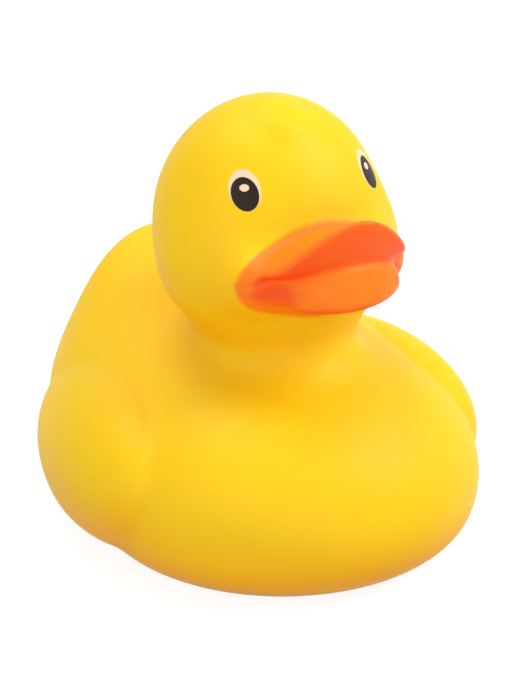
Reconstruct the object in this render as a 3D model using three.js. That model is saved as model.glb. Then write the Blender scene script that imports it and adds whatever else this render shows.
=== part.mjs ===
// Rubber duck bath toy: one hollow soft vinyl shell with a squeaker pressed into its base.
// Millimetres, +Z up. The duck looks along -Y and stands on the plane z = 0.
// The origin is at the middle of its bounding box seen from above, on that plane.
//
// The shell is one closed surface. A field gives the distance to the duck's skin, negative inside,
// from rounded masses that run softly into each other. Rays from a spine inside the duck find where
// the field is zero, and the points are then spread evenly over the skin.

import * as THREE from 'three';
import { ParametricGeometry } from 'three/addons/geometries/ParametricGeometry.js';
import { mergeVertices } from 'three/addons/utils/BufferGeometryUtils.js';

// Wall of the vinyl shell.
const wall = 2.0;

// Breast and belly: centre and half sizes.
const breastCentre = [0, -8.95, 13.06];
const breastHalf = [33.73, 33.57, 23.07];
// Rump behind the breast.
const rumpCentre = [0, 14.38, 19.03];
const rumpHalf = [30.01, 27.14, 18.86];
// Tail, a flat mass that leans back: its long axis is raised by tailLean degrees.
const tailCentre = [0, 27.25, 27.27];
const tailHalf = [16.52, 18.53, 8.31];
const tailLean = 57.66;
// Folded wings, one on each side. They toe in toward the tail and dip slightly.
const wingCentre = [23.85, 6.08, 15.35];
const wingHalf = [12.8, 26.92, 15.26];
const wingToe = 12.16;
const wingDip = -2.99;
// The skin sinks a little along the line where a wing leaves the body.
const wingGroove = 0.3;
const wingGrooveWidth = 0.8;
// Neck, a short tapered post inside the body and head.
const neckY = -9.2;
const neckBottomZ = 30.67;
const neckTopZ = 48.67;
const neckBottomRadius = 10.97;
const neckTopRadius = 8.97;
// Head and the fuller cheeks below the eyes.
const headCentre = [0, -3.26, 57.68];
const headHalf = [19.61, 17.71, 20.92];
const muzzleCentre = [0, -9.33, 52.23];
const muzzleHalf = [19.81, 12.8, 12.19];
// Small tuft on the crown.
const tuftCentre = [0, -8.35, 75.9];
const tuftHalf = [4.7, 5.4, 2.5];
const tuftLean = 21;

// Bill. Seen from above its rim is half an ellipse about billRoot, and the rim of each lip rises
// toward the middle.
const billRootY = -23.61;
const billRootZ = 54.0;
const billHalfWidth = 15.17;
const billReach = 12.59;
const billBackReach = 6.0;
const upperRimRise = 12.08;
const mouthRise = 4.59;
// How flat the mouth line runs near its corners: 1 follows the rims, more stays low for longer.
const mouthFlatness = 1.6;
const lowerRimRise = -1.17;
const lipEdge = 1.98;
// Share of the upper lip's rise that is left where the lip meets the face.
const lipRootShare = 0.42;
// How far the mouth crease is set in from the rims, at the side and added at the middle, and how
// full each lip is between rim and crease.
const mouthDepth = 2.2;
const mouthDepthMiddle = 1.0;
const upperLipFullness = 1.4;
const lowerLipFullness = 2.8;
const creaseRadius = 0.35;
const lipFaceMargin = 0.3;
const lowerLipSetback = 1.33;
const cornerSetback = 0.8;
const lowerCornerSetback = 1.6;
// The lips' front faces start this far behind the root and are full this far on.
const faceStart = 3;
const faceLength = 5;
// The mouth corners reach from the sides to this share of the bill's reach, and fade over the next.
const cornerReach = 0.25;
const cornerFade = 0.4;
const cornerDepthShare = 0.6;
// Hollow along the top of the upper lip, behind its rim.
const lipHollow = 0.5;
const lipHollowLength = 5.0;
// Fall of the lower lip's underside toward the throat, and how far back it goes.
const throatSlope = 0.12;
const throatLength = 12;
// Soft corners of the mouth.
const cheekCentre = [11.38, -20.0, 53.5];
const cheekHalf = [4.16, 4.37, 3.74];

// Base: the rounded underside is cut flat, with a shallow round dish that takes the squeaker.
const bellyPlaneZ = -1.1;
const bellyRounding = 9.33;
const dishY = -3.75;
const holeRadius = 7.0;
const flangeOverhang = 2.6;
const flangeRadius = holeRadius + flangeOverhang;
const dishDepth = 1.8;
const dishMargin = 0.9;
const dishSlope = 3.5;
const dishFlatRadius = flangeRadius + dishMargin;
const dishRimRadius = dishFlatRadius + dishSlope;

// Slopes of the bill's front and of its top and bottom sheets, which bring them close to distances.
const rimSize = (billHalfWidth + billReach) / 2;
const billSteepness = 0.94;
const sheetSteepness = 0.95;

// How softly each mass runs into the next.
const rumpBlend = 10;
const tailBlend = 14;
const wingBlend = 1.8;
const headBlend = 8;
const neckBlend = 7;
const tuftBlend = 1.6;
const billBlend = 5.16;
const cheekBlend = 3;
const lipBlend = 2.8;
const dishBlend = 1.0;

// Squeaker plug and its reed.
const fitGap = 0.3;
const flangeThickness = 1.0;
const barbOverhang = 0.9;
const barbRadius = holeRadius + barbOverhang;
const barbLength = 2.6;
const plugTopZ = 12.0;
const plugFloor = 1.2;
const airHoleRadius = 1.2;
const chamberRadius = 4.0;
const throatRadius = 4.6;
const reedRadius = 5.0;
const reedThickness = 0.4;
const reedSeatZ = 6.3;
const beadHeight = 0.6;
const tongueHalfWidth = 1.6;
const tongueTip = 2.6;
const tongueRoot = -2.8;
const slitWidth = 0.4;

// Mesh: columns round the duck, rows on body and head, on the lips behind their rims, on the lips'
// front faces and in the hollow, and how often the rows are evened out.
const columns = 52;
const headRows = 58;
const lipRows = 10;
const faceRows = 7;
const driftingRows = 4;
const innerRows = 34;
const eveningSteps = 40;
const longestRay = 70;
// How far the mouth crease stays in from the sides, and the ray tips inside the bill.
const creaseInset = 1.8;
const billTipY = -12;
const billTipZ = 58;
const upperFrontTip = { y: -25, z: 56.5, spread: 0.55 };
const lowerFrontTip = { y: -23, z: 53, spread: 0.7 };
const faceTipSpread = 0.8;
const faceTipRise = 0.9;
// Rows on the lips draw together toward the rim, and those on the faces toward rim and crease.
const rimCrowding = 1.35;
const faceCrowding = 0.4;
// Shares of the reach, on the upper and the lower lip, up to which the rim row is not held.
const upperRimLoose = 0.2;
const lowerRimLoose = 0.6;
const billEveningSteps = 14;

const clamp = THREE.MathUtils.clamp;
const radians = THREE.MathUtils.degToRad;

function softMin(a, b, blend) {
  const h = Math.max(blend - Math.abs(a - b), 0) / blend;
  return Math.min(a, b) - h * h * blend * 0.25;
}

function softMax(a, b, blend) {
  return -softMin(-a, -b, blend);
}

function smoothStep(t) {
  const s = clamp(t, 0, 1);
  return s * s * (3 - 2 * s);
}

// Distance to an ellipsoid at the origin with half sizes h, close to exact near its surface.
function ellipsoidDistance(x, y, z, h) {
  const a = Math.hypot(x / h[0], y / h[1], z / h[2]) + 1e-9;
  const b = Math.hypot(x / (h[0] * h[0]), y / (h[1] * h[1]), z / (h[2] * h[2])) + 1e-9;
  return a * (a - 1) / b;
}

// The same for an ellipsoid whose long axis is raised about X by lean degrees.
function leaningEllipsoid(x, y, z, centre, half, lean) {
  const c = Math.cos(radians(lean));
  const s = Math.sin(radians(lean));
  const v = y - centre[1];
  const w = z - centre[2];
  return ellipsoidDistance(x - centre[0], c * v + s * w, c * w - s * v, half);
}

function wingDistance(x, y, z, side) {
  const toeCos = Math.cos(radians(wingToe * side));
  const toeSin = Math.sin(radians(wingToe * side));
  const u = x - side * wingCentre[0];
  const v = y - wingCentre[1];
  const w = z - wingCentre[2];
  const across = toeCos * u + toeSin * v;
  const along = toeCos * v - toeSin * u;
  const dipCos = Math.cos(radians(wingDip));
  const dipSin = Math.sin(radians(wingDip));
  return ellipsoidDistance(across, dipCos * along + dipSin * w, dipCos * w - dipSin * along, wingHalf);
}

function neckDistance(x, y, z) {
  const t = clamp((z - neckBottomZ) / (neckTopZ - neckBottomZ), 0, 1);
  const height = neckBottomZ + t * (neckTopZ - neckBottomZ);
  const radius = neckBottomRadius + t * (neckTopRadius - neckBottomRadius);
  return Math.hypot(x, y - neckY, z - height) - radius;
}

function bodyDistance(x, y, z) {
  const breast = leaningEllipsoid(x, y, z, breastCentre, breastHalf, 0);
  const rump = leaningEllipsoid(x, y, z, rumpCentre, rumpHalf, 0);
  const tail = leaningEllipsoid(x, y, z, tailCentre, tailHalf, tailLean);
  let body = softMin(softMin(breast, rump, rumpBlend), tail, tailBlend);
  const wings = Math.min(wingDistance(x, y, z, -1), wingDistance(x, y, z, 1));
  const groove = wingGroove * Math.exp(-Math.pow((body - wings) / wingGrooveWidth, 2));
  body = softMin(body, wings, wingBlend) + groove;
  return softMax(body, bellyPlaneZ - z, bellyRounding);
}

function headDistance(x, y, z) {
  const head = leaningEllipsoid(x, y, z, headCentre, headHalf, 0);
  const muzzle = leaningEllipsoid(x, y, z, muzzleCentre, muzzleHalf, 0);
  return softMin(neckDistance(x, y, z), softMin(head, muzzle, headBlend), headBlend);
}

// Height over the bill's root of the upper rim, the mouth and the lower rim at x, for a place that is
// a share of the bill's reach ahead of the root.
function billHeights(x, ahead) {
  const across = x / billHalfWidth;
  const arch = Math.max(1 - across * across, -0.3);
  const share = lipRootShare + (1 - lipRootShare) * clamp(ahead, -0.5, 1);
  return {
    arch,
    upper: upperRimRise * arch * share + lipEdge,
    mouth: mouthRise * Math.pow(Math.max(arch, 0), mouthFlatness),
    lower: lowerRimRise * arch - lipEdge,
  };
}

function billDistance(x, y, z) {
  const forward = billRootY - y;
  const ahead = forward / (forward > 0 ? billReach : billBackReach);
  // Millimetres outside the rim's ellipse.
  const outside = (Math.hypot(x / billHalfWidth, ahead) - 1) * rimSize * billSteepness;
  const { arch, upper, mouth, lower } = billHeights(x, ahead);
  const height = z - billRootZ;
  // Each lip's front face runs back to the mouth crease.
  const front = smoothStep((forward + faceStart) / faceLength);
  const corner = 1 - smoothStep((ahead - cornerReach) / cornerFade);
  const above = height > mouth;
  const lip = above ? upper - mouth : mouth - lower;
  const fromCrease = Math.hypot(height - mouth, creaseRadius) - creaseRadius;
  const fullness = above ? upperLipFullness : lowerLipFullness;
  const setback = above ? 0 : (lowerLipSetback + lowerCornerSetback * corner) * front;
  const middleDepth = mouthDepth + mouthDepthMiddle * arch;
  const deepest = (middleDepth + cornerSetback * cornerDepthShare * corner) * front;
  const bulge = Math.pow(Math.max(1e-9, 1 - fromCrease / (lip + lipFaceMargin)), fullness);
  const face = outside + setback + (deepest - setback) * bulge;
  const top = height - upper + lipHollow * smoothStep(-outside / lipHollowLength);
  const bottom = lower - throatSlope * clamp(-outside, 0, throatLength) - height;
  return softMax(softMax(top * sheetSteepness, face, lipBlend), bottom * sheetSteepness, lipBlend);
}

// Height of the dish over the standing plane.
function dishHeight(x, y) {
  const reach = Math.hypot(x, y - dishY);
  return dishDepth * smoothStep((dishRimRadius - reach) / (dishRimRadius - dishFlatRadius));
}

function skinDistance(x, y, z) {
  const corners = leaningEllipsoid(Math.abs(x), y, z, cheekCentre, cheekHalf, 0);
  const bill = softMin(billDistance(x, y, z), corners, cheekBlend);
  const head = softMin(headDistance(x, y, z), bill, billBlend);
  let skin = softMin(bodyDistance(x, y, z), head, neckBlend);
  skin = softMin(skin, leaningEllipsoid(x, y, z, tuftCentre, tuftHalf, tuftLean), tuftBlend);
  skin = softMax(skin, dishHeight(x, y) - z, dishBlend);
  return Math.max(skin, -z);
}

// The hollow follows body, wings, neck and head one wall inside the skin. The bill is cast solid.
function hollowDistance(x, y, z) {
  const inside = softMin(bodyDistance(x, y, z), headDistance(x, y, z), neckBlend) + wall;
  return Math.max(inside, dishHeight(x, y) + wall - z);
}

// Each row of points lies on a cone of rays. A key gives the place along the duck from 0 to 1,
// the cone's tip (y, z), the lean of its axis from +Z toward -Y, and how far the rays open from
// the plane across that axis (-90 looks down the axis, 90 up it).
const outerSpine = [
  [0.00, dishY, 13.9, 0, -60],
  [0.18, 0.25, 15.9, 0, -35],
  [0.31, 3.25, 17.9, 0, 0],
  [0.44, 3.25, 20.4, 0, 22],
  [0.57, 1.25, 23.9, 0, 34],
  [0.67, -3.75, 31.9, 0, 20],
  [0.75, -4.75, 39.9, 3, 2],
  [0.88, -5.75, 49.9, 18, 0],
  [1.00, -9.75, 58.9, 42, 0],
];
const innerSpine = [
  [0.00, dishY, 13.9, 0, -55],
  [0.14, 0.25, 15.9, 0, -35],
  [0.28, 3.25, 17.9, 0, 0],
  [0.40, 3.25, 20.4, 0, 22],
  [0.52, 1.25, 23.9, 0, 34],
  [0.62, -3.75, 31.9, 0, 20],
  [0.70, -4.75, 39.9, 3, 2],
  [0.82, -5.25, 51.9, 10, 0],
  [1.00, -5.25, 56.9, 12, 90],
];

// Slopes of a curve through the keys that never overshoots between them.
function keySlopes(keys, k) {
  const steps = keys.slice(1).map((key, i) => (key[k] - keys[i][k]) / (key[0] - keys[i][0]));
  const slopes = keys.map((key, i) => {
    if (i === 0 || i === keys.length - 1) {
      return 0;
    }
    const before = steps[i - 1];
    const after = steps[i];
    return before * after > 0 ? 2 * before * after / (before + after) : 0;
  });
  slopes[0] = steps[0];
  slopes[keys.length - 1] = steps[steps.length - 1];
  return slopes;
}

function keyValue(keys, slopes, k, place) {
  let i = 0;
  while (i < keys.length - 2 && place > keys[i + 1][0]) {
    i += 1;
  }
  const width = keys[i + 1][0] - keys[i][0];
  const t = (place - keys[i][0]) / width;
  const rise = t * t * (3 - 2 * t);
  const leave = t * (1 - t) * (1 - t) * width;
  const arrive = -t * t * (1 - t) * width;
  return keys[i][k] * (1 - rise) + keys[i + 1][k] * rise + slopes[i] * leave + slopes[i + 1] * arrive;
}

// Walk out along a ray until the field turns positive, then close in on the zero.
function reachSkin(field, tip, ray, stride) {
  const at = (r) => field(tip[0] + ray[0] * r, tip[1] + ray[1] * r, tip[2] + ray[2] * r);
  let far = stride;
  while (far < longestRay && at(far) <= 0) {
    far += stride;
  }
  let near = far - stride;
  for (let i = 0; i < 26; i += 1) {
    const middle = (near + far) / 2;
    if (at(middle) < 0) {
      near = middle;
    } else {
      far = middle;
    }
  }
  return tip.map((c, k) => c + ray[k] * (near + far) / 2);
}

function gradient(field, p) {
  const e = 0.02;
  return [
    (field(p[0] + e, p[1], p[2]) - field(p[0] - e, p[1], p[2])) / (2 * e),
    (field(p[0], p[1] + e, p[2]) - field(p[0], p[1] - e, p[2])) / (2 * e),
    (field(p[0], p[1], p[2] + e) - field(p[0], p[1], p[2] - e)) / (2 * e),
  ];
}

const dot = (a, b) => a[0] * b[0] + a[1] * b[1] + a[2] * b[2];

// One step from p onto the surface, along the field's slope.
function settle(field, p) {
  const slope = gradient(field, p);
  const lift = field(p[0], p[1], p[2]) / (dot(slope, slope) + 1e-9);
  return p.map((c, k) => c - slope[k] * lift);
}

// Rows of points from the edge of the squeaker hole to the end of the spine.
function coneRows(field, spine, rowCount, ringZ) {
  const slopes = [1, 2, 3, 4].map((k) => keySlopes(spine, k));
  const rows = [];
  for (let i = 0; i < rowCount; i += 1) {
    const value = (k) => keyValue(spine, slopes[k - 1], k, i / (rowCount - 1));
    const tip = [0, value(1), value(2)];
    const lean = radians(value(3));
    const open = radians(value(4));
    const row = [];
    for (let j = 0; j < columns; j += 1) {
      const turn = 2 * Math.PI * j / columns;
      if (i === 0) {
        row.push([holeRadius * Math.sin(turn), dishY - holeRadius * Math.cos(turn), ringZ]);
      } else {
        const ray = [
          Math.cos(open) * Math.sin(turn),
          -Math.cos(open) * Math.cos(turn) * Math.cos(lean) - Math.sin(open) * Math.sin(lean),
          -Math.cos(open) * Math.cos(turn) * Math.sin(lean) + Math.sin(open) * Math.cos(lean),
        ];
        row.push(reachSkin(field, tip, ray, 1));
      }
    }
    rows.push(row);
  }
  return rows;
}

// The bill's rim as a row: upper lip where the column looks back, lower lip where it looks ahead.
function rimRow() {
  const row = [];
  for (let j = 0; j < columns; j += 1) {
    const turn = 2 * Math.PI * j / columns;
    const ahead = Math.abs(Math.cos(turn));
    const corner = 1 - smoothStep((ahead - cornerReach) / cornerFade);
    const back = (lowerLipSetback + lowerCornerSetback * corner) * smoothStep(ahead / cornerReach);
    const size = Math.cos(turn) < 0 ? 1 : 1 - back / (rimSize * billSteepness);
    const x = billHalfWidth * Math.sin(turn) * size;
    const { upper, lower } = billHeights(x, ahead);
    const edge = lipEdge * (1 - smoothStep(ahead / cornerReach));
    const rise = Math.cos(turn) < 0 ? upper - edge : lower + edge;
    let point = [x, billRootY - billReach * ahead * size, billRootZ + rise];
    for (let step = 0; step < 8; step += 1) {
      point = settle(skinDistance, point);
    }
    row.push(point);
  }
  return row;
}

// The mouth crease as a row that runs across and back, so each point is in it twice.
function creaseRow() {
  const row = [];
  for (let j = 0; j < columns; j += 1) {
    const twin = Math.min(j, (columns / 2 - j + columns) % columns);
    const turn = 2 * Math.PI * twin / columns;
    const x = (billHalfWidth - creaseInset) * Math.sin(turn);
    const rise = billHeights(x, 0).mouth;
    const tip = [x, billRootY + 1 - 2 * Math.abs(Math.cos(turn)), billRootZ + rise];
    row.push(reachSkin(skinDistance, tip, [0, -1, 0], 0.5));
  }
  return row;
}

// A point between two on the skin: their mix, thrown onto the skin from a tip inside it.
function between(from, to, share, tip) {
  const ray = tip.map((c, k) => from[k] * (1 - share) + to[k] * share - c);
  const length = Math.hypot(...ray);
  return reachSkin(skinDistance, tip, ray.map((c) => c / length), 0.5);
}

// Rows on from the last row of the head: lips to the rim, the rim, front faces, mouth crease.
function billRows(headRow) {
  const rim = rimRow();
  const crease = creaseRow();
  const rows = [];
  for (let i = 1; i < lipRows; i += 1) {
    const share = 1 - Math.pow(1 - i / lipRows, rimCrowding);
    rows.push(rim.map((to, j) => {
      const turn = 2 * Math.PI * j / columns;
      const front = Math.cos(turn) < 0 ? upperFrontTip : lowerFrontTip;
      const tip = [
        front.spread * billHalfWidth * Math.sin(turn) * share,
        billTipY + (front.y - billTipY) * share,
        billTipZ + (front.z - billTipZ) * share,
      ];
      return between(headRow[j], to, share, tip);
    }));
  }
  rows.push(rim);
  for (let i = 1; i < faceRows; i += 1) {
    const even = i / faceRows;
    const share = even + faceCrowding * (smoothStep(even) - even);
    rows.push(rim.map((from, j) => {
      const x = faceTipSpread * (from[0] * (1 - share) + crease[j][0] * share);
      const tip = [x, billRootY - 1, billRootZ + faceTipRise * billHeights(x, 0).mouth];
      return between(from, crease[j], share, tip);
    }));
  }
  rows.push(crease);
  return rows;
}

// Move each free point halfway to the middle of its four neighbours, along the surface only.
function evened(field, startRows, steps, isFixed) {
  let rows = startRows;
  for (let step = 0; step < steps; step += 1) {
    rows = rows.map((row, i) => row.map((p, j) => {
      if (isFixed(i, j)) {
        return p;
      }
      const left = row[(j + columns - 1) % columns];
      const right = row[(j + 1) % columns];
      const middle = p.map((_, k) => (left[k] + right[k] + rows[i - 1][j][k] + rows[i + 1][j][k]) / 4);
      const slope = gradient(field, p);
      const along = middle.map((m, k) => m - p[k]);
      const lift = dot(along, slope) / (dot(slope, slope) + 1e-9);
      return settle(field, p.map((c, k) => c + 0.5 * (along[k] - lift * slope[k])));
    }));
  }
  return rows;
}

function outerSkinRows() {
  const head = coneRows(skinDistance, outerSpine, headRows, dishDepth);
  const rows = [...head, ...billRows(head[headRows - 1])];
  const rim = headRows + lipRows - 1;
  const last = rows.length - 1;
  // The rim is held except near the mouth corners, where the lips are too soft to have an edge.
  const onRim = (i, j) => {
    const turn = Math.cos(2 * Math.PI * j / columns);
    return i === rim && Math.abs(turn) >= (turn < 0 ? upperRimLoose : lowerRimLoose);
  };
  const onBill = (i) => i === 0 || i >= headRows + driftingRows;
  const onEdge = (i, j) => i === 0 || i === last || onRim(i, j);
  return evened(skinDistance, evened(skinDistance, rows, eveningSteps, onBill), billEveningSteps, onEdge);
}

function innerSkinRows() {
  const rows = coneRows(hollowDistance, innerSpine, innerRows, dishDepth + wall);
  return evened(hollowDistance, rows, eveningSteps, (i) => i === 0 || i === innerRows - 1);
}

// A three.js surface as one closed skin: shared corners joined, empty triangles left out.
function closedSkin(geometry) {
  geometry.deleteAttribute('normal');
  geometry.deleteAttribute('uv');
  const joined = mergeVertices(geometry, 1e-4);
  const index = joined.getIndex().array;
  const kept = [];
  for (let i = 0; i < index.length; i += 3) {
    const [a, b, c] = [index[i], index[i + 1], index[i + 2]];
    if (a !== b && b !== c && c !== a) {
      kept.push(a, b, c);
    }
  }
  joined.setIndex(kept);
  joined.computeVertexNormals();
  return joined;
}

function shellGeometry() {
  // One surface turned inside out at the hole: down the outside, then up the hollow.
  const rows = [...outerSkinRows().reverse(), ...innerSkinRows()];
  const at = (u, v, target) => {
    const row = rows[Math.round(clamp(v, 0, 1) * (rows.length - 1))];
    const p = row[Math.round(clamp(1 - u, 0, 1) * columns) % columns];
    const z = Math.abs(p[2]) < 2e-4 ? 0 : p[2];
    target.set(p[0], p[1], z);
  };
  return closedSkin(new ParametricGeometry(at, columns, rows.length - 1));
}

// A turned piece round the squeaker's axis. The profile lists (radius, height) and closes on itself.
function turned(profile, segments) {
  const points = [...profile, profile[0]].map(([r, z]) => new THREE.Vector2(r, z));
  const geometry = closedSkin(new THREE.LatheGeometry(points, segments));
  geometry.rotateX(Math.PI / 2);
  return geometry;
}

function plugGeometry() {
  const flangeTop = dishDepth - fitGap;
  const flangeBottom = flangeTop - flangeThickness;
  const stem = holeRadius - fitGap;
  const barbZ = dishDepth + wall + fitGap;
  const groove = reedRadius + fitGap;
  const grooveTop = reedSeatZ + reedThickness + 2 * fitGap;
  return turned([
    [airHoleRadius, flangeBottom],
    [flangeRadius - 0.3, flangeBottom],
    [flangeRadius, flangeBottom + 0.3],
    [flangeRadius, flangeTop],
    [stem, flangeTop],
    [stem, barbZ],
    [barbRadius, barbZ],
    [barbRadius, barbZ + 0.5],
    [stem, barbZ + barbLength],
    [stem, plugTopZ - 0.4],
    [stem - 0.4, plugTopZ],
    [throatRadius + 0.4, plugTopZ],
    [throatRadius, plugTopZ - 0.6],
    [throatRadius, grooveTop + beadHeight],
    [throatRadius, grooveTop],
    [groove, grooveTop],
    [groove, reedSeatZ],
    [chamberRadius, reedSeatZ],
    [chamberRadius, flangeBottom + plugFloor],
    [airHoleRadius, flangeBottom + plugFloor],
  ], 40);
}

// A thin disc with a tongue cut free on three sides.
function reedGeometry() {
  const disc = new THREE.Shape();
  disc.absarc(0, 0, reedRadius, 0, 2 * Math.PI, false);
  const slit = new THREE.Path();
  const w = tongueHalfWidth;
  slit.moveTo(tongueRoot, -w - slitWidth);
  slit.lineTo(tongueTip + slitWidth, -w - slitWidth);
  slit.lineTo(tongueTip + slitWidth, w + slitWidth);
  slit.lineTo(tongueRoot, w + slitWidth);
  slit.lineTo(tongueRoot, w);
  slit.lineTo(tongueTip, w);
  slit.lineTo(tongueTip, -w);
  slit.lineTo(tongueRoot, -w);
  slit.closePath();
  disc.holes.push(slit);
  const options = { depth: reedThickness, bevelEnabled: false, curveSegments: 20 };
  return closedSkin(new THREE.ExtrudeGeometry(disc, options));
}

function piece(name, geometry, color, roughness) {
  const material = new THREE.MeshStandardMaterial({ color, roughness, metalness: 0 });
  const mesh = new THREE.Mesh(geometry, material);
  mesh.name = name;
  return mesh;
}

const duck = new THREE.Group();

const shell = piece('duck_shell', shellGeometry(), 0xf9c623, 0.42);
duck.add(shell);

const squeaker = new THREE.Group();
squeaker.position.set(0, dishY, 0);
squeaker.add(piece('squeaker_body', plugGeometry(), 0xf1efe8, 0.35));
const reed = piece('squeaker_reed', reedGeometry(), 0xd8d8d2, 0.3);
reed.position.z = reedSeatZ + fitGap;
squeaker.add(reed);
duck.add(squeaker);

export default duck;
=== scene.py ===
"""Rubber duck bath toy: a soft vinyl skin, sprayed and printed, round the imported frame.

Shapes are worked out in millimetres with numpy and put into meshes in metres. The duck looks
along -Y, +Z is up, and it stands on the plane z = 0.
"""

import math

import bpy
import numpy as np
from mathutils import Matrix, Vector


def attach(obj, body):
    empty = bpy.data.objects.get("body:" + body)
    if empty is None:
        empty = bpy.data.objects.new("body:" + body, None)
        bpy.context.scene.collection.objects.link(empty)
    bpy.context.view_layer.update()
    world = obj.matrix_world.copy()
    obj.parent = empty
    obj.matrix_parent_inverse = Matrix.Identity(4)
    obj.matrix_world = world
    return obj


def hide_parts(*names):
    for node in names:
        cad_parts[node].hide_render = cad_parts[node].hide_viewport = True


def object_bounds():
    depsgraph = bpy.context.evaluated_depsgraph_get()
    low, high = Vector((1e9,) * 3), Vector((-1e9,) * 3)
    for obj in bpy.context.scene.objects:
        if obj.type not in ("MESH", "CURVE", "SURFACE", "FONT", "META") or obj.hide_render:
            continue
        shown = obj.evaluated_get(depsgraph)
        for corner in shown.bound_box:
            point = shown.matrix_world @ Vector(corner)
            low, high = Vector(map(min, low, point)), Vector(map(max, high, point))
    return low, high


bl_info = {
    "name": "Rubber duck",
    "version": (1, 0, 0),
    "blender": (4, 5, 0),
    "location": "View3D > Sidebar > Duck",
    "description": "Makes a squeezable vinyl bath duck and its studio",
    "category": "Object",
}

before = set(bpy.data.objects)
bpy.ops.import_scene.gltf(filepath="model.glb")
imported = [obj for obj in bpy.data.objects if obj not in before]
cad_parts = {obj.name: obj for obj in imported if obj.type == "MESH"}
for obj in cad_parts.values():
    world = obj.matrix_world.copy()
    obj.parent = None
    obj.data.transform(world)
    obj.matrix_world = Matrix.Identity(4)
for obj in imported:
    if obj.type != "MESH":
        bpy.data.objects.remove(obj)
CAD_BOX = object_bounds()
MM = 0.001

# Sizes, in millimetres, and leans, in degrees.

WALL = 2.0

# Rounded masses: centre and half sizes. The last one fills each corner of the bill.
BREAST = ((0.0, -8.95, 13.06), (33.73, 33.57, 23.07))
RUMP = ((0.0, 14.38, 19.03), (30.01, 27.14, 18.86))
TAIL = ((0.0, 27.25, 27.27), (16.52, 18.53, 8.31))
TAIL_LEAN = 57.66
WING = ((23.85, 6.08, 15.35), (12.8, 26.92, 15.26))
WING_TOE = 12.16
WING_DIP = -2.99
WING_BLEND = 1.8
WING_GROOVE = 0.30
WING_GROOVE_WIDTH = 0.8
HEAD = ((0.0, -3.26, 57.68), (19.61, 17.71, 20.92))
MUZZLE = ((0.0, -9.33, 52.23), (19.81, 12.8, 12.19))
TUFT = ((0.0, -8.35, 75.9), (4.7, 5.4, 2.5))
TUFT_LEAN = 21.0
CORNER = ((11.38, -20.0, 53.5), (4.16, 4.37, 3.74))

# Neck: its place along Y, then height and radius at both ends.
NECK_Y = -9.2
NECK_BOTTOM = (30.67, 10.97)
NECK_TOP = (48.67, 8.97)

# Widths over which neighbouring shapes run into one another.
TRUNK_BLEND = 10.0
TAIL_BLEND = 14.0
BELLY_BLEND = 9.33
FACE_BLEND = 8.0
THROAT_BLEND = 7.0
BEAK_BLEND = 5.16
CORNER_BLEND = 3.0
LIP_BLEND = 2.8
TUFT_BLEND = 1.6
DISH_BLEND = 1.0

# Bill: the rim is half an ellipse seen from above and arches up toward the middle. The span turns
# a share of that ellipse into millimetres. A fade is where a change starts and how wide it is.
BILL_ROOT_Y = -23.61
BILL_ROOT_Z = 54.0
BILL_HALF_WIDTH = 15.17
BILL_REACH = 12.59
BILL_BACK = 6.0
BILL_SPAN = (BILL_HALF_WIDTH + BILL_REACH) * 0.47
UPPER_RISE = 12.08
MOUTH_RISE = 5.1
MOUTH_FLATNESS = 1.35
LOWER_RISE = -1.17
LIP_EDGE = 1.98
LIP_ROOT_SHARE = 0.42
MOUTH_DEPTH = 2.2
MOUTH_DEPTH_MIDDLE = 1.0
MOUTH_DEPTH_CORNER = 0.48
LOWER_SETBACK = 1.33
LOWER_CORNER_SETBACK = 1.6
UPPER_LIP_FULLNESS = 1.4
LOWER_LIP_FULLNESS = 2.8
CREASE_ROUNDING = 0.35
LIP_STEEPNESS = 0.95
LIP_MARGIN = 0.3
CHIN_SLOPE = 0.12
CHIN_LENGTH = 12.0
FRONT_FADE = (-3.0, 5.0)
CORNER_FADE = (0.25, 0.4)
CREASE_INSET = 1.8
LIP_HOLLOW = 0.5
LIP_HOLLOW_LENGTH = 5.0
LIP_RIDGE = 0.22
LIP_RIDGE_BELOW = 1.0
LIP_RIDGE_WIDTH = 0.55

# Base.
BELLY_PLANE = -1.1
HOLE_Y = -3.75
HOLE_RADIUS = 7.0
DISH_DEPTH = 1.8
DISH_FLAT = 10.5
DISH_RIM = 14.0

# Rows of the grids, how many times finer the last one is, and rounds of evening out.
HEAD_ROWS = 84
BILL_ROWS = 16
LIP_ROWS = 10
INNER_ROWS = 60
FREE_BILL_ROWS = 4
FINER = 3
EVENING = 50
LIP_EVENING = 14
FINE_EVENING = 8
INNER_EVENING = 12

# Points this near the plane z = 0 lie on it, and the skin is at most this share of the CAD's box.
ON_THE_FLOOR = 2e-4
JUST_INSIDE = 0.9999

# Ray tips inside the bill: where they start in the head (y, z), then for each lip their spread as
# a share of the half width and how far they travel forward and down.
BILL_TIP_START = (-12.0, 58.0)
UPPER_TIP_TRAVEL = (0.55, 13.0, 1.5)
LOWER_TIP_TRAVEL = (0.7, 11.0, 5.0)

# How the bill's rows lie: the power by which they crowd toward the rim, how much those between rim
# and crease crowd toward both, and the rays' tips there as shares of the rim's width and height.
RIM_CROWDING = 1.35
LIP_CROWDING = 0.4
LIP_TIP_SHARES = (0.8, 0.9)

# How far ahead of its corners the upper and lower rim may slide, as a share of the bill's reach.
LOOSE_RIM = (0.2, 0.6)

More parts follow.
